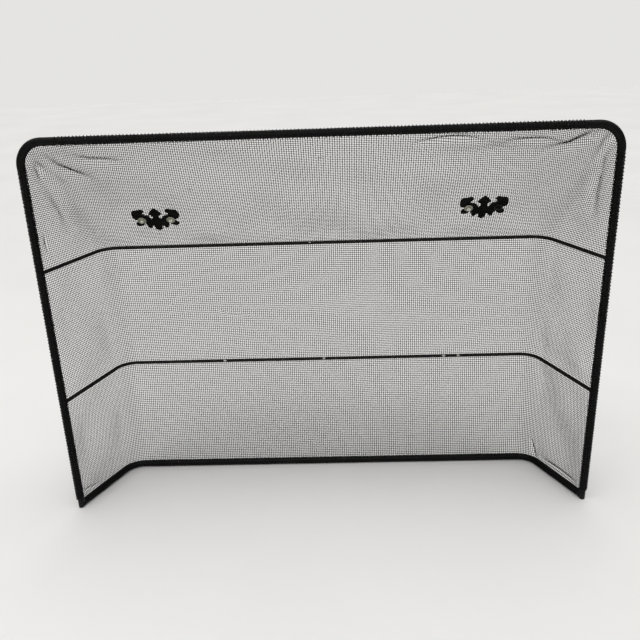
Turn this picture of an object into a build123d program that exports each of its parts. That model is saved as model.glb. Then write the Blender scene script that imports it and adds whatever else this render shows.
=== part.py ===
from build123d import *
from math import asin, atan2, cos, degrees, hypot, pi, sin, sqrt, tan
import os

os.makedirs("parts", exist_ok=True)

# A free-standing fireplace spark guard in millimetres, +Z up.
# -Y is the open side that faces the fire, +Y is the bowed front that faces the room.
# The origin is the middle of the overall box, on the floor.

# ---------------------------------------------------------------- driving dimensions
post_spacing = 1160.0        # between the centre lines of the two posts
rail_height = 837.0          # floor to the top rail's centre line
hoop_rod_d = 12.7            # half-inch rod: posts, top rail and bottom rod
hoop_corner_r = 47.0         # bend of the hoop's centre line
foot_chamfer = 1.0

cross_rod_d = 8.0
upper_rod_z = 571.0
middle_rod_z = 272.0
upper_depth = 187.0          # post centre line to the front run's centre line
middle_depth = 209.0
bottom_depth = 170.0
front_run = 1000.0           # between the two plan corners, before they are bent round
bend_r = 50.0                # plan bends of the cross rods
bead_r = 2.1                 # cross-section radius of a weld bead

wire_d = 1.04                # 19 gauge wire of the cloth
cloth_t = 2 * wire_d         # plain weave: two wires thick
roll_d = 17.5                # cloth rolled round the 12.7 mm rod
roll_gap = 0.15              # the roll is loose on its rod
roll_start_z = 23.0          # bare foot below the rolled edge
hem_start = 13.0             # post's centre line to the end of the rolled hem
cloth_gap = 0.2              # cloth to the rod that it lies on
seam_gap = 0.05              # cloth to the rolled edges that it runs into

plate_t = 1.5
bore_spacing = 64.0
plate_places = {             # across from the middle, and down the hood from the rail
    "left": (-362.5, 241.5),
    "right": (350.0, 231.5),
}
shank_d = 4.0
shank_hole_d = 4.4
collar_d = 10.0
collar_t = 1.6
neck_d = 6.0
ball_d = 10.5
pivot_h = 9.0                # bail axis above the plate's face
washer_d = 19.0
washer_t = 1.2
nut_af = 8.0
nut_t = 3.4
nut_bore_d = 4.1
stud_out = 2.6               # thread showing past the nut

bail_d = 4.6
bail_drop = 19.0
bail_shoulder = 20.5         # half width where the bow leaves the axis
bail_foot = 13.0             # half width at the bottom of the bow
pin_d = 3.2
pin_clearance = 0.08         # radial, pin in the ball's cross hole
pin_in_ball = 7.0
ball_gap = 0.35              # end of the bail's body to the ball
bail_rest_gap = 0.3          # bail to plate when it hangs

# ---------------------------------------------------------------- derived sizes
half = post_spacing / 2
hoop_r = hoop_rod_d / 2
cross_r = cross_rod_d / 2
roll_r = roll_d / 2
roll_bore_r = hoop_r + roll_gap
half_t = cloth_t / 2
bottom_rod_z = roll_r
cloth_off = cross_r + cloth_gap + half_t
overall_depth = roll_r + middle_depth + cloth_off + half_t
post_y = roll_r - overall_depth / 2


def mirrored(p):
    """The same point on the right-hand side."""
    return (-p[0],) + tuple(p[1:])


def raised(p, z):
    return (p[0], p[1], z)


# ---------------------------------------------------------------- plan of the cross rods
def plan_points(depth, off=0.0):
    """Left post end and left corner of a rod's plan, moved outwards by off."""
    leg_x = half - front_run / 2
    leg = hypot(leg_x, depth)
    start = (-half - off * depth / leg, post_y + off * leg_x / leg)
    front_y = post_y + depth + off
    corner = (start[0] + leg_x * (front_y - start[1]) / depth, front_y)
    return start, corner


def plan_tangents(depth, radius, off=0.0):
    """Post end, then the start, middle and end of the left bend."""
    (x0, y0), (x1, y1) = plan_points(depth, off)
    turn = atan2(y1 - y0, x1 - x0)
    cut = radius * (1 - cos(turn)) / sin(turn)
    first = (x1 - cut * cos(turn), y1 - cut * sin(turn))
    last = (x1 + cut, y1)
    mid = (last[0] - radius * sin(turn / 2), y1 - radius * (1 - cos(turn / 2)))
    return (x0, y0), first, mid, last


def leg_direction(depth, side=-1):
    """Unit vector along a rod's leg, from the post forwards."""
    (x0, y0), (x1, y1) = plan_points(depth)
    return Vector(-side * (x1 - x0), y1 - y0, 0).normalized()


def rod_solid(depth, z, radius):
    """A bent rod from post axis to post axis, before it is cut to the posts."""
    start, corner = plan_points(depth)
    with BuildPart(mode=Mode.PRIVATE) as rod:
        with BuildLine(Plane.XY.offset(z)):
            FilletPolyline(start, corner, mirrored(corner), mirrored(start), radius=bend_r)
        with BuildSketch(Plane(raised(start, z), z_dir=leg_direction(depth))):
            Circle(radius)
        sweep()
    return rod.part


def hoop_solid(outer, inner, z_start):
    """A rod or a tube along the hoop, starting at the same height on both posts."""
    with BuildPart(mode=Mode.PRIVATE) as hoop:
        with BuildLine(Plane.XZ.offset(-post_y)):
            FilletPolyline(
                (-half, z_start),
                (-half, rail_height),
                (half, rail_height),
                (half, z_start),
                radius=hoop_corner_r,
            )
        with BuildSketch(Plane((-half, post_y, z_start), z_dir=(0, 0, 1))):
            Circle(outer)
            if inner:
                Circle(inner, mode=Mode.SUBTRACT)
        sweep()
    return hoop.part


def cut_at_posts(reach):
    """Cut the current part back to cylinders of this radius round both posts."""
    with Locations((-half, post_y, rail_height / 2), (half, post_y, rail_height / 2)):
        Cylinder(reach, rail_height + 2 * roll_d, mode=Mode.SUBTRACT)


# ---------------------------------------------------------------- frame hoop
with BuildPart() as frame_hoop:
    add(hoop_solid(hoop_r, 0, 0))
    chamfer(frame_hoop.edges().group_by(Axis.Z)[0], foot_chamfer)

# ---------------------------------------------------------------- cross rods
rod_rows = {
    "upper_rod": (upper_depth, upper_rod_z, cross_r),
    "middle_rod": (middle_depth, middle_rod_z, cross_r),
    "bottom_rod": (bottom_depth, bottom_rod_z, hoop_r),
}
rods = {}
for rod_name, (rod_depth, rod_z, rod_r) in rod_rows.items():
    with BuildPart() as cross_rod:
        add(rod_solid(rod_depth, rod_z, rod_r))
        cut_at_posts(hoop_r)
    rods[rod_name] = cross_rod

# ---------------------------------------------------------------- weld beads
# One bead runs round each rod where it meets a post; the lowest two end at the floor.
bead_play = 0.02
with BuildPart() as weld_beads:
    for rod_depth, rod_z, rod_r in rod_rows.values():
        for side in (-1, 1):
            towards = leg_direction(rod_depth, side)
            centre = Vector(side * half, post_y, rod_z) + towards * hoop_r
            with Locations(Location(Plane(centre, z_dir=towards))):
                Torus(rod_r + bead_r / 4, bead_r)
    cut_at_posts(hoop_r + bead_play)
    for rod_depth, rod_z, rod_r in rod_rows.values():
        add(rod_solid(rod_depth, rod_z, rod_r + bead_play), mode=Mode.SUBTRACT)
    split(bisect_by=Plane.XY, keep=Keep.TOP)

# ---------------------------------------------------------------- rolled cloth edges
def relieve_beads():
    """Clear the current part from the weld beads."""
    reach = hoop_r + 1.5 * bead_r
    for rod_depth, rod_z, rod_r in rod_rows.values():
        for side in (-1, 1):
            towards = leg_direction(rod_depth, side)
            centre = Vector(side * half, post_y, rod_z) + towards * reach / 2
            with Locations(Location(Plane(centre, z_dir=towards))):
                Cylinder(rod_r + 1.5 * bead_r, reach, mode=Mode.SUBTRACT)


with BuildPart() as edge_roll:
    add(hoop_solid(roll_r, roll_bore_r, roll_start_z))
    relieve_beads()

with BuildPart() as bottom_hem:
    add(rod_solid(bottom_depth, bottom_rod_z, roll_r))
    add(rod_solid(bottom_depth, bottom_rod_z, roll_bore_r), mode=Mode.SUBTRACT)
    cut_at_posts(hem_start)


# ---------------------------------------------------------------- wire cloth
def wall_band(depth):
    """The cloth's closed outline in plan, from a post round the bend to the front."""
    outer = plan_tangents(depth, bend_r + cloth_off + half_t, cloth_off + half_t)
    inner = plan_tangents(depth, bend_r + cloth_off - half_t, cloth_off - half_t)
    with BuildLine() as outline:
        Line(outer[0], outer[1])
        ThreePointArc(outer[1], outer[2], outer[3])
        Line(outer[3], inner[3])
        ThreePointArc(inner[3], inner[2], inner[1])
        Line(inner[1], inner[0])
        Line(inner[0], outer[0])
    make_face(outline.edges())


def trim_cloth():
    """Cut the cloth back to the rolled edges that it runs into."""
    add(hoop_solid(roll_r + seam_gap, 0, -roll_d), mode=Mode.SUBTRACT)
    add(rod_solid(bottom_depth, bottom_rod_z, roll_r + seam_gap), mode=Mode.SUBTRACT)


def corner_patch(place):
    """The hood's rounded corner, ruled from the fold's bend to the hoop's bend."""
    low = Edge.make_three_point_arc(*[place(p) for p in (fold_first, fold_mid, fold_last)])
    high = Edge.make_three_point_arc(*[place(p) for p in (hoop_low, hoop_mid, hoop_high)])
    thicken(Face.make_surface_from_curves(low, high), amount=half_t, both=True)


# The walls fold into the hood just above the upper rod, so the cloth lies round the rod.
fold_rise = cloth_off * tan((pi / 2 - atan2(rail_height - upper_rod_z, upper_depth)) / 2)
fold_z = upper_rod_z + fold_rise
levels = [(bottom_depth, bottom_rod_z), (middle_depth, middle_rod_z), (upper_depth, fold_z)]
fold_path = plan_tangents(upper_depth, bend_r + cloth_off, cloth_off)
fold_post, fold_first, fold_mid, fold_last = [raised(p, fold_z) for p in fold_path]

# The hood's upper edge follows the hoop, moved out so that it passes over the rail.
hood_x, hood_y = fold_post[:2]
hood_top = rail_height + cloth_off
hood_corner_r = hoop_corner_r + cloth_off
corner_cut = hood_corner_r * (1 - sqrt(0.5))
hoop_low = (hood_x, hood_y, hood_top - hood_corner_r)
hoop_mid = (hood_x + corner_cut, hood_y, hood_top - corner_cut)
hoop_high = (hood_x + hood_corner_r, hood_y, hood_top)
hood_slope = atan2(hood_top - fold_z, fold_last[1] - hood_y)

# The planes lie on the hood's outer face, with +X to the left and +Y up the slope.
hood_normal = Vector(0, sin(hood_slope), cos(hood_slope))
down_hood = Vector(0, cos(hood_slope), -sin(hood_slope))
plate_planes = {}
for plate_name, (plate_x, plate_down) in plate_places.items():
    plate_centre = Vector(plate_x, hood_y, hood_top) + down_hood * plate_down + hood_normal * half_t
    plate_planes[plate_name] = Plane(plate_centre, x_dir=(-1, 0, 0), z_dir=hood_normal)

bores = [(-bore_spacing / 2, 0), (bore_spacing / 2, 0)]


def bore_locations():
    """The four handle bores, on the hood's outer face."""
    return [plane.location * Location((x, y, 0)) for plane in plate_planes.values() for x, y in bores]


with BuildPart() as mesh_hood:
    hood_outline = [fold_last, hoop_high, mirrored(hoop_high), mirrored(fold_last)]
    thicken(Face(Wire.make_polygon(hood_outline)), amount=half_t, both=True)
    corner_patch(lambda p: p)
    corner_patch(mirrored)
    trim_cloth()
    with Locations(*bore_locations()):
        Cylinder(shank_hole_d / 2, 4 * cloth_t, mode=Mode.SUBTRACT)

with BuildPart() as mesh_left_side:
    for (low_depth, low_z), (high_depth, high_z) in zip(levels, levels[1:]):
        with BuildSketch(Plane.XY.offset(low_z)):
            wall_band(low_depth)
        with BuildSketch(Plane.XY.offset(high_z)):
            wall_band(high_depth)
        loft(ruled=True)
    thicken(Face(Wire.make_polygon([fold_post, fold_first, hoop_low])), amount=half_t, both=True)
    trim_cloth()
    relieve_beads()
    add(mesh_hood.part, mode=Mode.SUBTRACT)

with BuildPart() as mesh_right_side:
    mirror(mesh_left_side.part, about=Plane.YZ)

with BuildPart() as mesh_front:
    for (low_depth, low_z), (high_depth, high_z) in zip(levels, levels[1:]):
        for depth, z in ((low_depth, low_z), (high_depth, high_z)):
            bend_end = plan_tangents(depth, bend_r + cloth_off, cloth_off)[3]
            with BuildSketch(Plane.XY.offset(z)):
                with Locations((0, bend_end[1])):
                    Rectangle(-2 * bend_end[0], cloth_t)
        loft(ruled=True)
    trim_cloth()
    add(mesh_hood.part, mode=Mode.SUBTRACT)

# ---------------------------------------------------------------- back plates
# Half of the bat-wing outline, from the top point round to the bottom point: each row
# is the middle and the end of one arc.
plate_top = (0, 34.5)
plate_arcs = [
    ((8.2, 26.4), (14.8, 15.6)),      # the arrowhead's flank
    ((10.2, 12.9), (7.2, 9.4)),       # its barb
    ((7.4, 3.4), (10.5, -0.7)),       # neck
    ((15.2, 7.4), (21.9, 12.3)),      # inner wing
    ((24.8, 10.2), (27.2, 11.4)),     # small notch
    ((28.0, 17.8), (23.9, 22.4)),     # inside of the hook
    ((24.8, 29.0), (30.5, 31.0)),     # tip of the hook
    ((38.4, 29.2), (45.5, 28.8)),     # top of the wing
    ((50.8, 21.4), (51.7, 12.0)),     # outer lobe
    ((50.6, 5.0), (46.5, 0.3)),
    ((42.0, -1.7), (41.0, -6.2)),     # outer notch
    ((45.4, -9.2), (47.4, -14.0)),    # ear
    ((43.4, -20.4), (36.0, -20.2)),
    ((30.0, -16.2), (27.4, -9.8)),    # notch below the post
    ((25.6, -16.4), (22.6, -22.0)),
    ((18.0, -28.8), (13.6, -25.2)),   # lower lobe
    ((10.8, -21.6), (8.0, -25.2)),    # notch beside the bottom diamond
    ((7.2, -28.2), (8.8, -31.0)),     # bottom diamond
    ((5.0, -33.4), (0.0, -37.5)),
]
plates = {}
for plate_name, plate_plane in plate_planes.items():
    with BuildPart() as back_plate:
        with BuildSketch(plate_plane):
            with BuildLine():
                arc_start = plate_top
                for arc_mid, arc_end in plate_arcs:
                    ThreePointArc(arc_start, arc_mid, arc_end)
                    ThreePointArc(mirrored(arc_start), mirrored(arc_mid), mirrored(arc_end))
                    arc_start = arc_end
            make_face()
            with Locations(*bores):
                Circle(shank_hole_d / 2, mode=Mode.SUBTRACT)
        extrude(amount=plate_t)
    plates[plate_name + "_back_plate"] = back_plate

# ---------------------------------------------------------------- handle posts, washers, nuts
ball_r = ball_d / 2
ball_h = plate_t + pivot_h
under_cloth = -cloth_t
under_washer = under_cloth - washer_t
under_nut = under_washer - nut_t
with BuildPart() as one_post:
    with Locations((0, 0, plate_t)):
        Cylinder(collar_d / 2, collar_t, align=(Align.CENTER, Align.CENTER, Align.MIN))
        fillet(one_post.edges().group_by(Axis.Z)[-1], 0.6)
        Cylinder(neck_d / 2, pivot_h, align=(Align.CENTER, Align.CENTER, Align.MIN))
    with Locations((0, 0, ball_h)):
        Sphere(ball_r)
        Cylinder(pin_d / 2 + pin_clearance, ball_d, rotation=(0, 90, 0), mode=Mode.SUBTRACT)
    with Locations((0, 0, under_nut - stud_out)):
        Cylinder(
            shank_d / 2, plate_t - under_nut + stud_out, align=(Align.CENTER, Align.CENTER, Align.MIN)
        )
    chamfer(one_post.edges().group_by(Axis.Z)[0], 0.5)

with BuildPart() as handle_posts:
    with Locations(*bore_locations()):
        add(one_post.part)

with BuildPart() as one_washer:
    with Locations((0, 0, under_washer)):
        Cylinder(washer_d / 2, washer_t, align=(Align.CENTER, Align.CENTER, Align.MIN))
        fillet(one_washer.edges().group_by(Axis.Z)[0], 0.35)
    Hole(shank_hole_d / 2)

with BuildPart() as handle_washers:
    with Locations(*bore_locations()):
        add(one_washer.part)

with BuildPart() as one_nut:
    with BuildSketch(Plane.XY.offset(under_nut)):
        RegularPolygon(nut_af / 2, 6, major_radius=False)
        Circle(nut_bore_d / 2, mode=Mode.SUBTRACT)
    extrude(amount=nut_t)
    nut_outline = one_nut.faces().sort_by(Axis.Z)[0].outer_wire().edges()
    chamfer(nut_outline, 0.45)

with BuildPart() as handle_nuts:
    with Locations(*bore_locations()):
        add(one_nut.part)

# ---------------------------------------------------------------- bails
# A bail hangs from the cross holes of its two posts and leans on the back plate.
bail_r = bail_d / 2
rest_lean = asin((pivot_h - bail_r - bail_rest_gap) / bail_drop)
body_end = bore_spacing / 2 - ball_r - ball_gap
pin_end = bore_spacing / 2 - ball_r + pin_in_ball
shoulder_r = 3.4
bow_r = 9.0
with BuildPart() as one_bail:
    with BuildLine():
        FilletPolyline(
            (-body_end, 0),
            (-bail_shoulder, 0),
            (-bail_foot, -bail_drop),
            (bail_foot, -bail_drop),
            (bail_shoulder, 0),
            (body_end, 0),
            radius=[shoulder_r, bow_r, bow_r, shoulder_r],
        )
    with BuildSketch(Plane((-body_end, 0, 0), z_dir=(1, 0, 0))):
        Circle(bail_r)
    sweep()
    fillet(one_bail.faces().filter_by(GeomType.PLANE).edges(), 0.6)
    for side in (-1, 1):
        with BuildSketch(Plane((side * (body_end - bail_r), 0, 0), z_dir=(side, 0, 0))):
            Circle(pin_d / 2)
        extrude(amount=pin_end - body_end + bail_r)

bails = {}
for plate_name, plate_plane in plate_planes.items():
    hang = Location((0, 0, ball_h), (degrees(rest_lean), 0, 0))
    with BuildPart() as bail:
        with Locations(plate_plane.location * hang):
            add(one_bail.part)
    bails[plate_name + "_bail"] = bail

# ---------------------------------------------------------------- nodes
nodes = {
    "frame_hoop": frame_hoop,
    **rods,
    "weld_beads": weld_beads,
    "edge_roll": edge_roll,
    "bottom_hem": bottom_hem,
    "mesh_front": mesh_front,
    "mesh_hood": mesh_hood,
    "mesh_left_side": mesh_left_side,
    "mesh_right_side": mesh_right_side,
    **plates,
    "handle_posts": handle_posts,
    "handle_washers": handle_washers,
    "handle_nuts": handle_nuts,
    **bails,
}
for name, node in nodes.items():
    node.part.label = name
    export_step(node.part, f"parts/{name}.step")

# ---------------------------------------------------------------- sizes for the record
print(f"post line y {post_y:.3f}, overall depth {overall_depth:.3f}")
for plate_name, plate_plane in plate_planes.items():
    pivot = plate_plane.origin + hood_normal * ball_h
    print(f"{plate_name} bail axis {pivot.X:.3f} {pivot.Y:.3f} {pivot.Z:.3f}")
print(f"hood slope {degrees(hood_slope):.3f}, bail lean {degrees(rest_lean):.3f}")
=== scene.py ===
from math import atan2, ceil, cos, hypot, pi, radians, sin, sqrt, tan

import bpy
import numpy as np
from mathutils import Matrix, Vector


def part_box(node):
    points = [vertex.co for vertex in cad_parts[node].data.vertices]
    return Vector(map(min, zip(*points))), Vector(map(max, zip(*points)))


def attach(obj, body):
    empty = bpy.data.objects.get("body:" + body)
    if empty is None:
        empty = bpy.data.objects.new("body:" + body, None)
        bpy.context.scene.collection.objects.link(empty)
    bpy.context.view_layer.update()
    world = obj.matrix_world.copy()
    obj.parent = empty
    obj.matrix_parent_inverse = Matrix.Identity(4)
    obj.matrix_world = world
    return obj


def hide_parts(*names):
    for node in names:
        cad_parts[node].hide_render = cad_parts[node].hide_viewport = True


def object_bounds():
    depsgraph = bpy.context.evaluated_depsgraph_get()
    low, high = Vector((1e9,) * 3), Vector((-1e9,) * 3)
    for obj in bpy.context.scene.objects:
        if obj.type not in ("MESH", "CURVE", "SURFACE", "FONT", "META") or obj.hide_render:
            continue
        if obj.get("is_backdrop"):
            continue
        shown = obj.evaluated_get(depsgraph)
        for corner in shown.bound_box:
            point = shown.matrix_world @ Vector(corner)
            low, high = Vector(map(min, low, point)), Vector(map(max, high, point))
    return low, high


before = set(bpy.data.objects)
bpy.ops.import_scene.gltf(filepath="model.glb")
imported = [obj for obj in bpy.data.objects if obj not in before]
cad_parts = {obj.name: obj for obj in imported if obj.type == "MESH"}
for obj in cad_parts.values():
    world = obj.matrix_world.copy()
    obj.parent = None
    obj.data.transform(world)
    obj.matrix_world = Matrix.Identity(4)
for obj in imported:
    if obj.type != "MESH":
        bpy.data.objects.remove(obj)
cad_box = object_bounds()

# A fireplace spark guard in metres, in the CAD frame: -Y is the open side that faces the
# fire, +Y the bowed front. The steel is the CAD model's. Here the wire cloth is woven
# wire by wire, dented and puckered where the real one is, and every surface is finished.

# ---------------------------------------------------------------- sizes from the frame
hoop_low, hoop_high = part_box("frame_hoop")
upper_low, upper_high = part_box("upper_rod")
middle_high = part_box("middle_rod")[1]
bottom_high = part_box("bottom_rod")[1]
hem_low, hem_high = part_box("bottom_hem")

rod_r = (hoop_high[1] - hoop_low[1]) / 2            # the hoop's and the bottom rod's
cross_r = (upper_high[2] - upper_low[2]) / 2
roll_r = (hem_high[2] - hem_low[2]) / 2
post_x = hoop_high[0] - rod_r
post_y = (hoop_high[1] + hoop_low[1]) / 2
rail_z = hoop_high[2] - rod_r
upper_z = upper_high[2] - cross_r
middle_z = middle_high[2] - cross_r
hem_z = (hem_high[2] + hem_low[2]) / 2
upper_depth = upper_high[1] - cross_r - post_y
middle_depth = middle_high[1] - cross_r - post_y
hem_depth = bottom_high[1] - rod_r - post_y
roll_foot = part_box("edge_roll")[0][2]               # where the rolled edge starts
hoop_corner_r = 0.047
front_run = 1.0                                     # between the rods' plan corners
bend_r = 0.050                                      # of the bottom rod's plan corners
hem_start = 0.013                                   # from the post's axis to the hem's end

pitch = 0.00476                                     # 3/16 in mesh
wire_r = 0.00064                                    # 18 gauge and its paint
cloth_gap = 0.0002                                  # cloth to the rod that it lies on
cloth_off = cross_r + cloth_gap + 2 * wire_r        # rod axis to the middle of the cloth
roll_line = roll_r - 2 * wire_r                     # where the flat cloth runs into a roll
roll_wire_r = roll_line - 0.0001                    # middle of the rolled cloth

# ---------------------------------------------------------------- small helpers


def unit(v):
    v = np.asarray(v, float)
    return v / np.linalg.norm(v)


def unit_rows(vectors):
    return vectors / np.linalg.norm(vectors, axis=-1, keepdims=True)


def angle_between(a, b):
    return float(np.arccos(np.clip(unit(a) @ unit(b), -1, 1)))


def smoothstep(x):
    x = np.clip(x, 0, 1)
    return x * x * (3 - 2 * x)


# ---------------------------------------------------------------- shape of the cloth
bend_reach = 8                                      # wires each side that share a bend
fold_rise = 0.315 * cloth_off                       # fold above the upper rod's axis
lean_start = radians(38)                            # where the cloth starts to lean at a corner


def plan_corner(depth):
    """A row's left corner in plan and the direction of its leg to the post."""
    leg = unit((-(post_x - front_run / 2), -depth))
    start = np.array((-post_x, post_y)) + cloth_off * np.array((leg[1], -leg[0]))
    front_y = post_y + depth + cloth_off
    return start - leg * (front_y - start[1]) / -leg[1], leg


fold_z = upper_z + fold_rise
rows = [(hem_z, hem_depth), (middle_z, middle_depth), (fold_z, upper_depth)]
row_b = [0.0]
for (low_z, low_depth), (high_z, high_depth) in zip(rows, rows[1:]):
    row_b.append(row_b[-1] + hypot(high_z - low_z, high_depth - low_depth))
fold_b = row_b[-1]

fold_corner, fold_leg = plan_corner(upper_depth)
corner = np.array((*fold_corner, fold_z))
leg = np.array((*fold_leg, 0.0))
hood_foot = np.array((-post_x, post_y)) + cloth_off * np.array((fold_leg[1], -fold_leg[0]))
edge = np.array((*hood_foot, rail_z + cloth_off)) - corner
hood_up = unit((0.0, edge[1], edge[2]))
hood_sector = angle_between((1, 0, 0), edge)
side_sector = angle_between(leg, edge)
spare_angle = pi - hood_sector - side_sector        # cloth that is left over at the corner


def cloth_sheet(a, b):
    """The cloth's left half before its bends are rounded: a is the length along a row
    from the middle, b the length up from the hem."""
    a, b = np.broadcast_arrays(a, b)
    points = np.zeros(a.shape + (3,))
    wall = b <= fold_b
    z = np.interp(b, row_b, [z for z, _ in rows])
    depth = np.interp(b, row_b, [d for _, d in rows])
    wide, deep = post_x - front_run / 2, depth
    leg_len = np.hypot(wide, deep)
    lx, ly = -wide / leg_len, -deep / leg_len
    start_x, start_y = -post_x + cloth_off * ly, post_y - cloth_off * lx
    front_y = post_y + depth + cloth_off
    run = (front_y - start_y) / -ly
    corner_x = start_x - lx * run
    along = a + corner_x                            # past the corner, along the leg
    on_front = a <= -corner_x
    points[..., 0] = np.where(on_front, -a, corner_x + along * lx)
    points[..., 1] = np.where(on_front, front_y, front_y + along * ly)
    points[..., 2] = z
    # Above the fold the cloth turns about the corner, and leans to use up the spare angle.
    reach_a, reach_b = -corner[0] - a, b - fold_b
    r = np.hypot(reach_a, reach_b)
    turn = np.arctan2(reach_b, reach_a)
    turn = turn - spare_angle * smoothstep((turn - lean_start) / (pi - lean_start))
    on_hood = turn <= hood_sector
    rest = hood_sector + side_sector - turn
    hood = np.cos(turn)[..., None] * np.array((1.0, 0, 0)) + np.sin(turn)[..., None] * hood_up
    side = np.cos(rest)[..., None] * leg + np.sin(rest)[..., None] * np.array((0, 0, 1.0))
    above = corner + r[..., None] * np.where(on_hood[..., None], hood, side)
    return np.where(wall[..., None], points, above)


half_wires = ceil((front_run / 2 + hypot(post_x - front_run / 2, middle_depth)) / pitch) + 4
top_wire = ceil((fold_b + np.linalg.norm(edge)) / pitch) + 2
columns = np.arange(-half_wires - bend_reach, half_wires + bend_reach + 1)
levels = np.arange(1, top_wire + 1)
grid_a, grid_b = np.meshgrid(columns * pitch, levels * pitch, indexing="ij")
sheet = cloth_sheet(np.abs(grid_a), grid_b)
sheet[..., 0] *= np.where(grid_a > 0, -1, 1)

# A wire can't turn a sharp corner, so each point is the mean of its neighbours along its row.
total = np.cumsum(np.concatenate([np.zeros((1,) + sheet.shape[1:]), sheet]), axis=0)
window = 2 * bend_reach + 1
cloth = (total[window:] - total[:-window]) / window
columns = columns[bend_reach:-bend_reach]
grid_a, grid_b = grid_a[bend_reach:-bend_reach], grid_b[bend_reach:-bend_reach]


def surface_normals(points):
    """Outward normals of a grid of points."""
    return unit_rows(np.cross(np.gradient(points, axis=1), np.gradient(points, axis=0)))


def hoop_offset(points):
    """How far points lie outside the hoop's outline, seen square on, and in front of it."""
    x, z = np.abs(points[..., 0]), points[..., 2]
    cx, cz = post_x - hoop_corner_r, rail_z - hoop_corner_r
    round_corner = np.hypot(x - cx, z - cz) - hoop_corner_r
    straight = np.maximum(x - post_x, z - rail_z)
    return np.where((x > cx) & (z > cz), round_corner, straight), points[..., 1] - post_y


def distance_to_hoop(points):
    return np.hypot(*hoop_offset(points))


def meet_corners(points):
    """Bends the cloth in to the hoop's round corners, which its flat faces would overshoot."""
    beyond, ahead = hoop_offset(points)
    x, z = np.abs(points[..., 0]), points[..., 2]
    cx, cz = post_x - hoop_corner_r, rail_z - hoop_corner_r
    turn = np.arctan2(z - cz, x - cx)
    hood_slope = upper_depth / (rail_z - upper_z)
    side_slope = upper_depth / (post_x - front_run / 2)
    slope = np.interp(turn, (0, pi / 2), (side_slope, hood_slope))
    limit = slope * -beyond + cloth_off
    soft = 0.003                                    # how softly the two surfaces meet
    blend = 0.5 * (ahead + limit - np.sqrt((ahead - limit) ** 2 + soft**2))
    in_corner = (x > cx) & (z > cz)
    bent = points.copy()
    bent[..., 1] = np.where(in_corner, post_y + blend, points[..., 1])
    return bent


cloth = meet_corners(cloth)

# Creases: points of a ridge across the guard's width and up its height, as (x, z), how far
# it stands off and its half width. The nearest wire crossing gives each point its depth.
creases = [
    # left hood
    ([(-0.548, 0.812), (-0.529, 0.780), (-0.503, 0.763), (-0.460, 0.750)], 0.0062, 0.0115),
    ([(-0.526, 0.776), (-0.508, 0.766), (-0.486, 0.759)], 0.0020, 0.0050),
    ([(-0.495, 0.800), (-0.455, 0.792), (-0.425, 0.790), (-0.385, 0.785)], 0.0075, 0.0095),
    # left side
    ([(-0.564, 0.796), (-0.561, 0.774), (-0.558, 0.748)], 0.0110, 0.0065),
    ([(-0.556, 0.790), (-0.548, 0.738), (-0.546, 0.688), (-0.542, 0.625)], 0.0085, 0.0150),
    ([(-0.571, 0.650), (-0.569, 0.605)], 0.0040, 0.0040),
    # right hood
    ([(0.180, 0.804), (0.231, 0.812), (0.263, 0.815), (0.289, 0.814), (0.335, 0.806)], 0.0078, 0.0070),
    ([(0.365, 0.805), (0.403, 0.806), (0.440, 0.807), (0.480, 0.803)], 0.0066, 0.0075),
    ([(0.440, 0.784), (0.491, 0.790), (0.518, 0.803), (0.550, 0.823)], 0.0100, 0.0130),
    ([(0.150, 0.780), (0.300, 0.779), (0.400, 0.780), (0.480, 0.775), (0.550, 0.770)], 0.0055, 0.0230),
    # right side
    ([(0.569, 0.824), (0.563, 0.800), (0.559, 0.770), (0.557, 0.738)], 0.0110, 0.0085),
    ([(0.559, 0.775), (0.557, 0.730), (0.557, 0.690), (0.559, 0.635)], 0.0085, 0.0150),
    # front wall, and the feet of the corners
    ([(-0.290, 0.434), (-0.233, 0.391), (-0.205, 0.390), (-0.155, 0.375)], 0.0035, 0.0040),
    ([(-0.194, 0.500), (-0.206, 0.340)], -0.0025, 0.0040),
    ([(0.503, 0.064), (0.504, 0.044), (0.507, 0.028), (0.514, 0.014)], 0.0095, 0.0045),
    ([(0.520, 0.021), (0.540, 0.024), (0.562, 0.025), (0.575, 0.021)], 0.0055, 0.0045),
    ([(-0.580, 0.030), (-0.555, 0.020)], 0.0035, 0.0030),
]

# Shallow dents: (x, z), radius and depth.
dents = [
    ((-0.357, 0.678), 0.012, -0.0030),
    ((-0.200, 0.420), 0.030, 0.0025),
    ((0.004, 0.789), 0.008, -0.0030),
    ((-0.271, 0.722), 0.006, -0.0025),
    ((-0.395, 0.292), 0.008, 0.0025),
    ((0.120, 0.180), 0.045, 0.0030),
    ((0.330, 0.430), 0.060, -0.0025),
]

# Slight unevenness all over: cycles per metre across and up, phase and height.
waves = [
    (3.1, 2.3, 0.4, 0.0016),
    (5.3, -3.7, 1.9, 0.0011),
    (1.7, 6.1, 4.0, 0.0010),
    (8.9, 4.3, 2.7, 0.0006),
]
rod_hold, roll_hold = 0.045, 0.05                   # how far a rod and a roll keep the cloth flat
stand_off = np.zeros(grid_a.shape)
for across, up, phase, height in waves:
    stand_off += height * np.sin(2 * pi * (across * grid_a + up * grid_b) + phase)

hoop_gap = distance_to_hoop(cloth)
for line_b in row_b:
    stand_off *= smoothstep(np.abs(grid_b - line_b) / rod_hold)
stand_off *= smoothstep((hoop_gap - roll_r) / roll_hold)


def on_cloth(x, z):
    """The wire crossing nearest to a point of the guard's width and height."""
    nearest = np.argmin(np.hypot(cloth[..., 0] - x, cloth[..., 2] - z))
    return cloth.reshape(-1, 3)[nearest]


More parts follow.
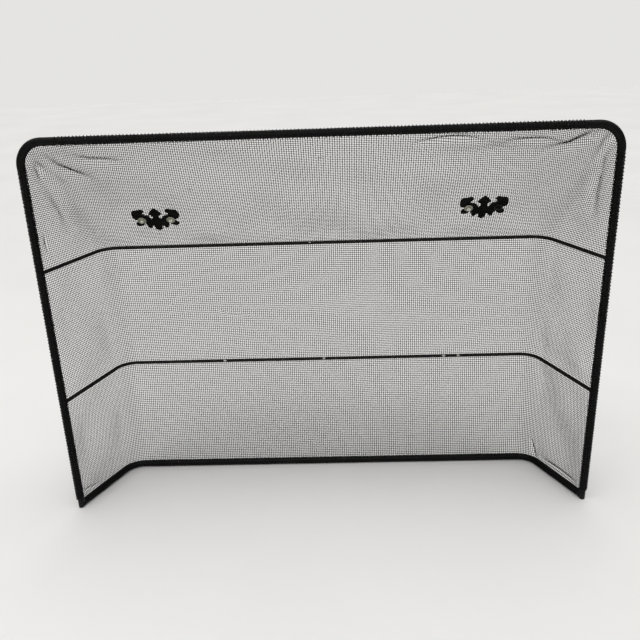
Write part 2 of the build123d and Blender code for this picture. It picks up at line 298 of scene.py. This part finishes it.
def distance_to_path(points, path):
    """Distance to a path of straight runs, and how far along it the foot lies, 0 to 1."""
    lengths = np.linalg.norm(np.diff(path, axis=0), axis=1)
    best, best_t, done = np.full(points.shape[:-1], np.inf), np.zeros(points.shape[:-1]), 0.0
    for start, end, length in zip(path, path[1:], lengths):
        t = np.clip((points - start) @ (end - start) / length**2, 0, 1)
        gap = np.linalg.norm(points - start - t[..., None] * (end - start), axis=-1)
        closer = gap < best
        best_t = np.where(closer, (done + t * length) / lengths.sum(), best_t)
        best = np.minimum(best, gap)
        done += length
    return best, best_t


for places, height, half_width in creases:
    gap, t = distance_to_path(cloth, np.array([on_cloth(x, z) for x, z in places]))
    stand_off += height * np.sin(pi * t) * np.exp(-((gap / half_width) ** 2))
for place, radius, height in dents:
    gap = np.linalg.norm(cloth - on_cloth(*place), axis=-1)
    stand_off += height * np.exp(-((gap / radius) ** 2))

cloth = cloth + stand_off[..., None] * surface_normals(cloth)
normals = surface_normals(cloth)

# The cloth ends in its rolled edges, in front of the hoop and within its outline.
beyond, ahead = hoop_offset(cloth)
least_ahead, most_beyond, first_level = 0.004, cloth_off + 0.002, 1.5 * pitch
outside = (np.hypot(beyond, ahead) > roll_line) & (ahead > least_ahead)
outside &= (beyond < most_beyond) & (grid_b > first_level)

# ---------------------------------------------------------------- mesh helpers


def new_object(name, verts, quads, smooth=True):
    """A mesh object made of quads only."""
    mesh = bpy.data.meshes.new(name)
    mesh.vertices.add(len(verts))
    mesh.vertices.foreach_set("co", np.asarray(verts, np.float32).ravel())
    mesh.loops.add(4 * len(quads))
    mesh.loops.foreach_set("vertex_index", np.asarray(quads, np.int32).ravel())
    mesh.polygons.add(len(quads))
    mesh.polygons.foreach_set("loop_start", np.arange(0, 4 * len(quads), 4, dtype=np.int32))
    mesh.polygons.foreach_set("use_smooth", np.full(len(quads), smooth))
    mesh.update(calc_edges=True)
    mesh.validate()
    obj = bpy.data.objects.new(name, mesh)
    bpy.context.scene.collection.objects.link(obj)
    return obj


class Wires:
    """Collects wires as closed tubes with four sides."""

    def __init__(self):
        self.verts, self.quads, self.count = [], [], 0

    def add(self, path, normal):
        """One wire along path, with normal pointing off the cloth at each point."""
        n, sides = len(path), 4
        tangent = unit_rows(np.gradient(path, axis=0))
        across = unit_rows(np.cross(tangent, normal))
        off = np.cross(across, tangent)
        k = np.arange(sides)
        turn = k * 2 * pi / sides
        ring = (
            path[:, None]
            + wire_r * np.cos(turn)[None, :, None] * off[:, None]
            + wire_r * np.sin(turn)[None, :, None] * across[:, None]
        )
        first = self.count + np.arange(n - 1)[:, None] * sides
        ahead = (k + 1) % sides
        quads = np.stack([first + k, first + ahead, first + sides + ahead, first + sides + k], -1)
        ends = np.array([self.count + k[::-1], self.count + (n - 1) * sides + k])
        self.verts.append(ring.reshape(-1, 3))
        self.quads += [quads.reshape(-1, 4), ends]
        self.count += n * sides

    def build(self, name):
        return new_object(name, np.concatenate(self.verts), np.concatenate(self.quads))


def finished(piece, *nodes):
    """Ties a piece of cloth to the frame and to the CAD nodes that it stands for."""
    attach(piece, "frame")
    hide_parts(*nodes)
    return piece


def runs(mask):
    """Start and end of each run of True in mask, with one more point at each end."""
    edges = np.flatnonzero(np.diff(np.concatenate([[False], mask, [False]]).astype(int)))
    for start, end in zip(edges[::2], edges[1::2]):
        yield max(start - 1, 0), min(end + 1, len(mask))


def stretches(visible, own):
    """Slices of one wire's visible runs that a region owns, each with the next point."""
    for start, end in runs(visible):
        inside = np.flatnonzero(own[start:end]) + start
        if len(inside):
            stop = min(inside[-1] + 2, end)
            if stop - inside[0] > 1:
                yield slice(inside[0], stop)


# ---------------------------------------------------------------- the woven cloth
column, level = np.indices(grid_a.shape)
crown = np.where((column + level) % 2, 1, -1)[..., None]
warp = cloth + crown * wire_r * normals             # wires that run up
weft = cloth - crown * wire_r * normals             # wires that run along

side_x = -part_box("mesh_front")[0][0]
left, right = grid_a <= 0, grid_a > 0
is_hood = grid_b > fold_b
is_side = (np.abs(grid_a) > side_x) & ~is_hood
is_front = ~is_side & ~is_hood
is_low = grid_b <= row_b[1]
cloth_regions = {
    "left_side": (is_side & left, ["mesh_left_side"]),
    "right_side": (is_side & right, ["mesh_right_side"]),
    "left_hood": (is_hood & left, ["mesh_hood", "mesh_left_side"]),
    "right_hood": (is_hood & right, ["mesh_hood", "mesh_right_side"]),
    "front_lower_left": (is_front & is_low & left, ["mesh_front"]),
    "front_lower_right": (is_front & is_low & right, ["mesh_front"]),
    "front_upper_left": (is_front & ~is_low & left, ["mesh_front"]),
    "front_upper_right": (is_front & ~is_low & right, ["mesh_front"]),
}


def woven_piece(name, region, nodes):
    """The wires of one region, over and under each other."""
    wires = Wires()
    for i in range(len(columns)):
        for part in stretches(outside[i], region[i]):
            wires.add(warp[i, part], normals[i, part])
    for j in range(len(levels)):
        for part in stretches(outside[:, j], region[:, j]):
            wires.add(weft[part, j], normals[part, j])
    return finished(wires.build("cloth_" + name), *nodes)


cloth_pieces = [woven_piece(name, region, nodes) for name, (region, nodes) in cloth_regions.items()]

# ---------------------------------------------------------------- rolled edges
wires_round = 10                                    # straight wires in one turn of a roll
roll_turn = radians(350)
sleeve_on_rail, sleeve_on_post = 0.028, 0.008       # gathered cloth past the hoop's corners
sleeve_thin, sleeve_thick = 0.0008, 0.0011          # its ends, and what its middle adds
lacing_pitch = 0.007
rng = np.random.default_rng(7)


def spaced(start, end, step=pitch):
    """Points on a straight run, about step apart."""
    start, end = np.array(start), np.array(end)
    count = max(2, round(np.linalg.norm(end - start) / step) + 1)
    return start + np.linspace(0, 1, count)[:, None] * (end - start)


def uneven(count, height, reach=3):
    """A smooth random line."""
    noise = rng.uniform(-1, 1, count + 2 * reach)
    return height * np.convolve(noise, np.ones(2 * reach + 1) / sqrt(2 * reach + 1), "valid")


def rolled_edge(name, path, out, start_angle, node, cut_end=0.0012):
    """Cloth rolled once round a rod: wires round it, wires along it, and cut ends."""
    along = unit_rows(np.gradient(path, axis=0))
    out = np.broadcast_to(out, path.shape)
    side = np.cross(along, out)
    step = np.arange(2 * wires_round + 1)
    angle = start_angle + roll_turn * step / step[-1]
    radial = np.cos(angle)[:, None] * out[:, None] + np.sin(angle)[:, None] * side[:, None]
    over = np.cos(pi * step / 2) * np.where(np.arange(len(path)) % 2, -1, 1)[:, None]
    swell = uneven(len(path), 0.00022)[:, None] + uneven(len(step), 0.00012)[None]
    slip = uneven(len(path), 0.0004)[:, None, None] * along[:, None]
    rings = path[:, None] + (roll_wire_r + swell + wire_r * over)[..., None] * radial + slip
    straight = path[:, None] + (roll_wire_r + swell - wire_r * over)[..., None] * radial
    rings[:, -1] += rng.uniform(0, cut_end, len(path))[:, None] * radial[:, -1]
    wires = Wires()
    for ring, normal in zip(rings, radial):
        wires.add(ring, normal)
    for k in range(0, len(step) - 1, 2):
        wires.add(straight[:, k], radial[:, k])
    return finished(wires.build(name), node)


def gathered_corner(name, side):
    """The smooth sleeve of tightly gathered cloth at a corner of the hoop."""
    cx, cz = post_x - hoop_corner_r, rail_z - hoop_corner_r
    turn = np.linspace(0, pi / 2, 46)
    arc_x, arc_z = cx + hoop_corner_r * np.cos(turn), cz + hoop_corner_r * np.sin(turn)
    low_z = np.linspace(cz - sleeve_on_post, cz, 5)[:-1]
    rail_x = np.linspace(cx, cx - sleeve_on_rail, 15)[1:]
    x = np.concatenate([np.full(len(low_z), post_x), arc_x, rail_x])
    z = np.concatenate([low_z, arc_z, np.full(len(rail_x), rail_z)])
    out = np.concatenate([np.zeros(len(low_z)), turn, np.full(len(rail_x), pi / 2)])
    out = np.stack([side * np.cos(out), np.zeros(len(out)), np.sin(out)], -1)
    path = np.stack([side * x, np.full(len(x), post_y), z], -1)
    angle = np.linspace(0, 2 * pi, 37)[:-1]
    radial = np.cos(angle)[:, None] * out[:, None] + np.sin(angle)[:, None] * np.array((0, 1.0, 0))
    run = np.concatenate([[0], np.cumsum(np.linalg.norm(np.diff(path, axis=0), axis=1))])
    ends = smoothstep(np.minimum(run, run[-1] - run) / 0.003)
    inside = np.clip(-np.cos(angle), 0, 1)
    ridges = 0.00035 * np.sin(2 * pi * run[:, None] / pitch / 1.5) * inside
    twists = 0.00018 * np.sin(9 * angle + 40 * run[:, None])
    radius = rod_r + sleeve_thin + (sleeve_thick + ridges + twists) * ends[:, None]
    outer = path[:, None] + radius[..., None] * radial
    inner = path[:, None] + (rod_r + 0.00015) * radial
    rings = np.concatenate([outer, inner[::-1]])
    count, sides = rings.shape[:2]
    i, k = np.meshgrid(np.arange(count), np.arange(sides), indexing="ij")
    after, ahead = (i + 1) % count, (k + 1) % sides
    quads = [i * sides + k, after * sides + k, after * sides + ahead, i * sides + ahead]
    quads = np.stack(quads[:: int(side)], -1).reshape(-1, 4)
    return finished(new_object(name, rings.reshape(-1, 3), quads), "edge_roll")


def lacing(name, runs_of_rod):
    """A thin wire wound round the rolled edge, which ties the roll shut."""
    wires = Wires()
    per_turn = 12
    for start, end, out in runs_of_rod:
        length = np.linalg.norm(np.subtract(end, start))
        turns = int(length / lacing_pitch)
        path = spaced(start, end, length / (turns * per_turn))
        along, out = unit(np.subtract(end, start)), np.array(out, float)
        angle = np.arange(len(path)) * 2 * pi / per_turn
        radial = np.cos(angle)[:, None] * out + np.sin(angle)[:, None] * np.cross(along, out)
        reach = roll_r + 0.6 * wire_r + uneven(len(path), 0.00015)
        wires.add(path + reach[:, None] * radial, radial)
    return finished(wires.build(name), "edge_roll")


def bottom_rod_point(s):
    """The bottom rod's axis at s to the right of its middle, and its level outward normal."""
    turn = atan2(hem_depth, post_x - front_run / 2)
    flat = front_run / 2 - bend_r * tan(turn / 2)
    bent = min(max((abs(s) - flat) / bend_r, 0), turn)
    leg_run = max(abs(s) - flat - bend_r * turn, 0)
    x = min(abs(s), flat) + bend_r * sin(bent) + leg_run * cos(turn)
    y = post_y + hem_depth - bend_r * (1 - cos(bent)) - leg_run * sin(turn)
    return (x if s > 0 else -x, y, hem_z)


post_top = rail_z - hoop_corner_r - sleeve_on_post
rail_end = post_x - hoop_corner_r - sleeve_on_rail
left_post = ((-post_x, post_y, roll_foot + wire_r), (-post_x, post_y, post_top))
rail = ((-rail_end, post_y, rail_z), (rail_end, post_y, rail_z))
right_post = ((post_x, post_y, post_top), (post_x, post_y, roll_foot + wire_r))
leg_turn = atan2(hem_depth, post_x - front_run / 2)
half_rod = hypot(hem_depth, post_x - front_run / 2) - bend_r * tan(leg_turn / 2)
half_rod += front_run / 2 - bend_r * tan(leg_turn / 2) + bend_r * leg_turn - hem_start
hem_s = np.linspace(-half_rod, half_rod, round(2 * half_rod / pitch) + 1)
hem_path = np.array([bottom_rod_point(s) for s in hem_s])

rolls = [
    rolled_edge("rolled_edge_left", spaced(*left_post), (-1, 0, 0), radians(200), "edge_roll"),
    rolled_edge("rolled_edge_rail", spaced(*rail), (0, 0, 1), radians(195), "edge_roll"),
    rolled_edge("rolled_edge_right", spaced(*right_post), (1, 0, 0), radians(200), "edge_roll"),
    rolled_edge("rolled_hem", hem_path, (0, 0, 1), radians(20), "bottom_hem", 0.0006),
]
corners = [gathered_corner("rolled_corner_left", -1), gathered_corner("rolled_corner_right", 1)]
laced = [(*left_post, (-1, 0, 0)), (*rail, (0, 0, 1)), (*right_post, (1, 0, 0))]
laces = lacing("edge_lacing", laced)

# ---------------------------------------------------------------- materials


class Material:
    """A node material that reads positions on the guard, in metres."""

    def __init__(self, name, gloss=0.16, metallic=0.0):
        self.mat = bpy.data.materials.new(name)
        self.mat.use_nodes = True
        self.tree = self.mat.node_tree
        self.shader = self.tree.nodes["Principled BSDF"]
        self.shader.inputs["Metallic"].default_value = metallic
        self.shader.inputs["Specular IOR Level"].default_value = gloss
        self.place = self.tree.nodes.new("ShaderNodeTexCoord").outputs["Object"]

    def noise(self, scale, detail=3.0, stretch=(1, 1, 1)):
        """Noise of about scale features to the metre."""
        node = self.tree.nodes.new("ShaderNodeTexNoise")
        node.inputs["Scale"].default_value = scale
        node.inputs["Detail"].default_value = detail
        mapping = self.tree.nodes.new("ShaderNodeMapping")
        mapping.inputs["Scale"].default_value = stretch
        self.tree.links.new(self.place, mapping.inputs["Vector"])
        self.tree.links.new(mapping.outputs["Vector"], node.inputs["Vector"])
        return node.outputs["Fac"]

    def ramp(self, value, stops):
        """A colour ramp: (position, (r, g, b)) stops."""
        node = self.tree.nodes.new("ShaderNodeValToRGB")
        while len(node.color_ramp.elements) < len(stops):
            node.color_ramp.elements.new(0.5)
        for element, (position, color) in zip(node.color_ramp.elements, stops):
            element.position = position
            element.color = (*color, 1)
        self.tree.links.new(value, node.inputs["Fac"])
        return node.outputs["Color"]

    def spread(self, value, low, high, start=0.3, end=0.7):
        """A value from start to end spread over low to high."""
        node = self.tree.nodes.new("ShaderNodeMapRange")
        for key, number in zip(("From Min", "From Max", "To Min", "To Max"), (start, end, low, high)):
            node.inputs[key].default_value = number
        self.tree.links.new(value, node.inputs["Value"])
        return node.outputs["Result"]

    def math(self, kind, a, b):
        node = self.tree.nodes.new("ShaderNodeMath")
        node.operation = kind
        for socket, value in zip(node.inputs, (a, b)):
            if isinstance(value, (int, float)):
                socket.default_value = value
            else:
                self.tree.links.new(value, socket)
        return node.outputs[0]

    def mix(self, mask, a, b):
        """Colour b where mask is 1, else a."""
        node = self.tree.nodes.new("ShaderNodeMix")
        node.data_type = "RGBA"
        self.tree.links.new(mask, node.inputs["Factor"])
        for socket, value in (("A", a), ("B", b)):
            target = [s for s in node.inputs if s.name == socket and s.type == "RGBA"][0]
            if isinstance(value, tuple):
                target.default_value = (*value, 1)
            else:
                self.tree.links.new(value, target)
        return [s for s in node.outputs if s.type == "RGBA"][0]

    def near(self, point, radius):
        """1 at a point, falling to 0 at radius."""
        node = self.tree.nodes.new("ShaderNodeVectorMath")
        node.operation = "DISTANCE"
        self.tree.links.new(self.place, node.inputs[0])
        node.inputs[1].default_value = point
        return self.spread(node.outputs["Value"], 1.0, 0.0, 0.0, radius)

    def bump(self, value, depth):
        node = self.tree.nodes.new("ShaderNodeBump")
        node.inputs["Distance"].default_value = depth
        self.tree.links.new(value, node.inputs["Height"])
        self.tree.links.new(node.outputs["Normal"], self.shader.inputs["Normal"])

    def set(self, **sockets):
        for name, value in sockets.items():
            self.tree.links.new(value, self.shader.inputs[name.replace("_", " ")])
        return self.mat


steel = (0.42, 0.40, 0.37)
soot = (0.0025, 0.0024, 0.0024)
satin_black = (0.0055, 0.0054, 0.0056)
dusty_black = (0.013, 0.012, 0.011)
bright_zinc, washer_grey = (1.0, 0.99, 0.90), (0.39, 0.39, 0.32)


def painted_rod(name, chips=(), chip_radius=0.007):
    """Black paint over a steel rod: uneven gloss, dust, pinhole chips and named chips."""
    m = Material(name)
    paint = m.ramp(m.noise(38, 5), [(0.35, soot), (0.55, satin_black), (0.78, dusty_black)])
    specks = m.spread(m.noise(420, 2), 0.0, 1.0, 0.735, 0.75)
    for point in chips:
        ragged = m.math("ADD", m.near(point, chip_radius), m.noise(600, 2))
        specks = m.math("MAXIMUM", specks, m.spread(ragged, 0.0, 1.0, 0.98, 1.02))
    m.bump(m.noise(900, 2), 0.00006)
    rough = m.spread(m.noise(60, 4), 0.30, 0.52)
    return m.set(Base_Color=m.mix(specks, paint, steel), Roughness=rough, Metallic=specks)


def wire_paint(name):
    """Paint on the cloth's wires, dusty in patches and worn bright here and there."""
    m = Material(name)
    dust = m.ramp(m.noise(9, 4), [(0.38, soot), (0.58, satin_black), (0.80, dusty_black)])
    bright = m.spread(m.noise(260, 2), 0.0, 1.0, 0.72, 0.78)
    m.bump(m.noise(1500, 2), 0.00004)
    rough = m.spread(m.noise(90, 3), 0.32, 0.55)
    return m.set(Base_Color=m.mix(bright, dust, (0.055, 0.053, 0.050)), Roughness=rough)


def shaded_gathered_paint():
    """Paint over cloth that is gathered so tightly that only its ridges show, darker than the rolls'
    paint as painted shade for the shade between woven wires.
    """
    m = Material("shaded_corner_paint", gloss=0.10)
    # Both stops are darker than the rolls' soot: painted shade in place of the shade that falls
    # between the wires of a woven roll.
    stops = [(0.35, (0.0015, 0.0015, 0.0015)), (0.7, (0.0045, 0.0044, 0.0045))]
    color = m.ramp(m.noise(80, 4), stops)
    m.bump(m.noise(700, 3), 0.0004)
    return m.set(Base_Color=color, Roughness=m.spread(m.noise(240, 4), 0.30, 0.60))


def hammered_black(name, gloss, dark, light, rough):
    """Cast and hammered black finish of the handles."""
    m = Material(name, gloss)
    m.bump(m.noise(260, 2), 0.0004)
    return m.set(
        Base_Color=m.ramp(m.noise(70, 4), [(0.35, dark), (0.75, light)]),
        Roughness=m.spread(m.noise(140, 3), rough, rough + 0.2),
    )


def split(m, direction, level):
    """1 past a level along a direction, 0 before it."""
    dot = m.tree.nodes.new("ShaderNodeVectorMath")
    dot.operation = "DOT_PRODUCT"
    m.tree.links.new(m.place, dot.inputs[0])
    dot.inputs[1].default_value = direction
    return m.spread(dot.outputs["Value"], 0.0, 1.0, level, level + 0.0005)


def zinc(name, tone, bare=None):
    """Dull zinc, with one fastener painted over. Past the bare level it is painted too."""
    m = Material(name, gloss=0.3)
    grey = m.ramp(m.noise(500, 4), [(0.3, tuple(0.75 * c for c in tone)), (0.7, tone)])
    painted = split(m, (1, 0, 0), right_plate_middle)
    if bare is not None:
        painted = m.math("MAXIMUM", painted, split(m, hood_normal, bare))
    m.bump(m.noise(1200, 3), 0.00005)
    return m.set(
        Base_Color=m.mix(painted, grey, soot),
        Roughness=m.spread(m.noise(300, 3), 0.34, 0.50),
        Metallic=m.math("SUBTRACT", 1.0, painted),
    )


def pale_floor():
    m = Material("pale_floor")
    color = m.ramp(m.noise(1.3, 5), [(0.3, (0.80, 0.795, 0.785)), (0.7, (0.84, 0.835, 0.825))])
    return m.set(Base_Color=color, Roughness=m.spread(m.noise(8, 4), 0.55, 0.70))


def rod_front(high):
    """The side that faces the fire of a cross rod whose highest corner is given."""
    return high[1] - 2 * cross_r, high[2] - cross_r + 0.002


middle_chips = [(x, *rod_front(middle_high)) for x in (-0.25, -0.007, 0.285, 0.32)]
upper_chips = [(-0.03, *rod_front(upper_high))]
hood_normal = (0, hood_up[2], -hood_up[1])
right_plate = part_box("right_back_plate")
right_plate_middle = (right_plate[0][0] + right_plate[1][0]) / 2
hood_level = float(np.dot(corner, hood_normal))     # the middle of the cloth on the hood
hoop_paint = painted_rod("hoop_paint")
cloth_paint = wire_paint("cloth_paint")
roll_paint = wire_paint("roll_paint")
# The corner sleeves' paint is darkened as painted shade.
shaded_corner_paint = shaded_gathered_paint()
handle_black = hammered_black(
    "hammered_black", 0.08, (0.0012, 0.0012, 0.0011), (0.0042, 0.0038, 0.0032), 0.42
)
# The bails' copy of the handles' black is lighter than the plates' as painted light, so the bails read
# as lit from outside; its gloss is higher too.
lit_handle_black = hammered_black(
    "lit_handle_black", 0.5, (0.0060, 0.0058, 0.0055), (0.0160, 0.0150, 0.0140), 0.26
)

for piece in [*cloth_pieces, laces]:
    piece.data.materials.append(cloth_paint)
for piece in rolls:
    piece.data.materials.append(roll_paint)
for piece in corners:
    piece.data.materials.append(shaded_corner_paint)
finishes = {
    "upper_rod": painted_rod("upper_rod_paint", upper_chips, 0.004),
    "middle_rod": painted_rod("middle_rod_paint", middle_chips),
    "left_back_plate": handle_black,
    "right_back_plate": handle_black,
    "left_bail": lit_handle_black,
    "right_bail": lit_handle_black,
    "handle_posts": zinc("post_finish", bright_zinc, hood_level),
    "handle_washers": zinc("washer_zinc", washer_grey),
    "handle_nuts": zinc("nut_zinc", bright_zinc),
}
for name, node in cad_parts.items():
    node.data.materials.clear()
    node.data.materials.append(finishes.get(name, hoop_paint))

# ---------------------------------------------------------------- camera, light and floor
focal_px = 733.0
image_px = 640
camera_data = bpy.data.cameras.new("camera")
camera_data.sensor_width = 36.0
camera_data.lens = 36.0 * focal_px / image_px
camera = bpy.data.objects.new("camera", camera_data)
bpy.context.scene.collection.objects.link(camera)
camera_place = (0.0375, post_y - 1.4319, 1.0099)
pitch_down, roll, yaw = radians(21.20), radians(-2.03), radians(-1.77)
forward = Vector((sin(yaw) * cos(pitch_down), cos(yaw) * cos(pitch_down), -sin(pitch_down)))
level_right = Vector((cos(yaw), -sin(yaw), 0))
level_up = level_right.cross(forward)
right = level_right * cos(roll) + level_up * sin(roll)
up = -level_right * sin(roll) + level_up * cos(roll)
camera.matrix_world = Matrix.Translation(camera_place) @ Matrix(
    (
        (right.x, up.x, -forward.x, 0),
        (right.y, up.y, -forward.y, 0),
        (right.z, up.z, -forward.z, 0),
        (0, 0, 0, 1),
    )
)
bpy.context.scene.camera = camera


def studio_world():
    """A pale backdrop, and soft light that comes mostly from above."""
    world = bpy.data.worlds.new("studio")
    world.use_nodes = True
    tree = world.node_tree
    backdrop = tree.nodes["Background"]
    backdrop.inputs["Color"].default_value = (0.78, 0.775, 0.765, 1)
    light = tree.nodes.new("ShaderNodeBackground")
    place = tree.nodes.new("ShaderNodeTexCoord")
    axes = tree.nodes.new("ShaderNodeSeparateXYZ")
    ramp = tree.nodes.new("ShaderNodeValToRGB")
    seen = tree.nodes.new("ShaderNodeLightPath")
    choice = tree.nodes.new("ShaderNodeMixShader")
    for element, (height, glow) in zip(ramp.color_ramp.elements, ((0.25, 0.10), (0.80, 1.0))):
        element.position = height
        element.color = (glow, 0.995 * glow, 0.985 * glow, 1)
    light.inputs["Strength"].default_value = 1.38
    tree.links.new(place.outputs["Generated"], axes.inputs[0])
    tree.links.new(axes.outputs["Z"], ramp.inputs["Fac"])
    tree.links.new(ramp.outputs["Color"], light.inputs["Color"])
    tree.links.new(seen.outputs["Is Camera Ray"], choice.inputs[0])
    tree.links.new(light.outputs[0], choice.inputs[1])
    tree.links.new(backdrop.outputs[0], choice.inputs[2])
    tree.links.new(choice.outputs[0], tree.nodes["World Output"].inputs["Surface"])
    return world


bpy.context.scene.world = studio_world()
bpy.context.scene.view_settings.view_transform = "Standard"

floor_half = 12.0
floor_mesh = bpy.data.meshes.new("floor")
floor_corners = [(x * floor_half, y * floor_half, 0) for x, y in ((-1, -1), (1, -1), (1, 1), (-1, 1))]
floor_mesh.from_pydata(floor_corners, [], [(0, 1, 2, 3)])
floor = bpy.data.objects.new("floor", floor_mesh)
bpy.context.scene.collection.objects.link(floor)
floor_mesh.materials.append(pale_floor())
floor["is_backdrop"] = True

lamp_data = bpy.data.lights.new("softbox", "AREA")
lamp_data.energy = 10
lamp_data.size = 2.2
lamp = bpy.data.objects.new("softbox", lamp_data)
lamp.location = (-0.8, -1.6, 2.4)
lamp.rotation_euler = (radians(35), 0, radians(-25))
bpy.context.scene.collection.objects.link(lamp)

[[list(corner) for corner in box] for box in (cad_box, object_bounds())]
